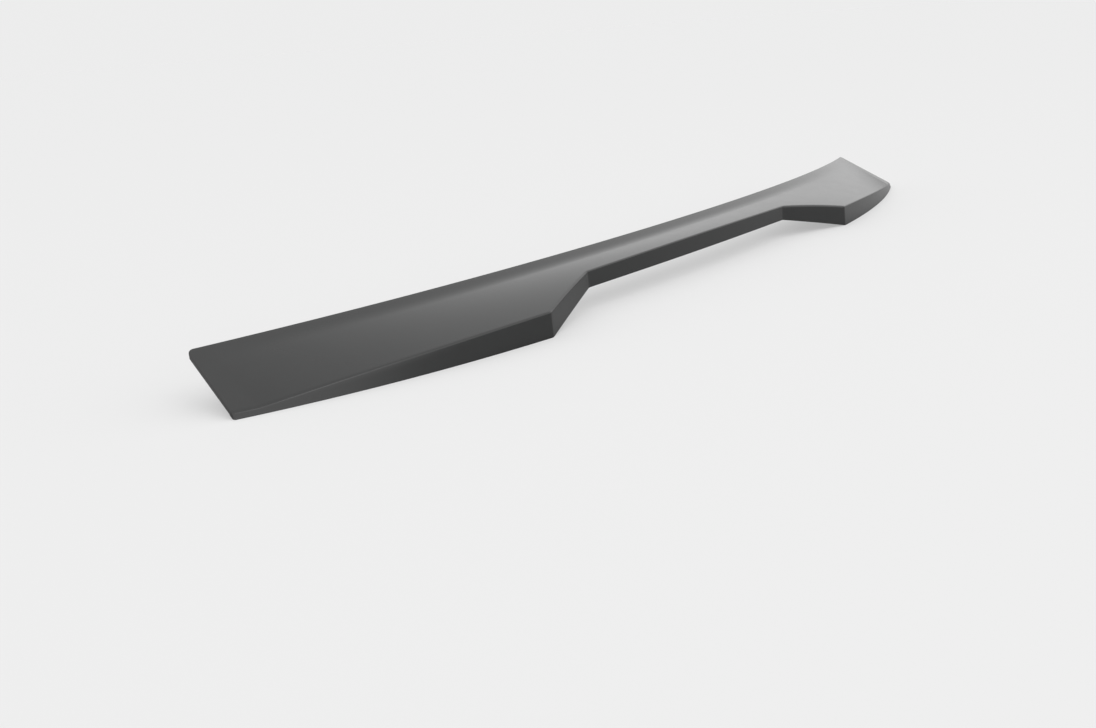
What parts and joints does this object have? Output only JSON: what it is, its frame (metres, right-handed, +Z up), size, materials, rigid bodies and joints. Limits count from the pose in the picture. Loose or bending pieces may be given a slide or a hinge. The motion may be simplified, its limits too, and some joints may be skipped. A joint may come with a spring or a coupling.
{
  "type": "rear window cover",
  "caption": "Thin moulded rear window cover with a bowed front edge, raised side wings that end in a lip, and a notched narrow strip between them.",
  "frame": {"origin": "middle of the overall box in plan, on the plane that the two wings' bottom edges stand on", "axes": "+X to the right across the width, +Y towards the front edge that is bonded along the top of the window, +Z up"},
  "size_m": [1.107, 0.1392, 0.0482],
  "materials": {
    "cover_plastic": "satin dark grey moulded plastic with a very fine grain"
  },
  "bodies": {
    "root": {"window_cover": "cover_plastic"}
  },
  "joints": []
}
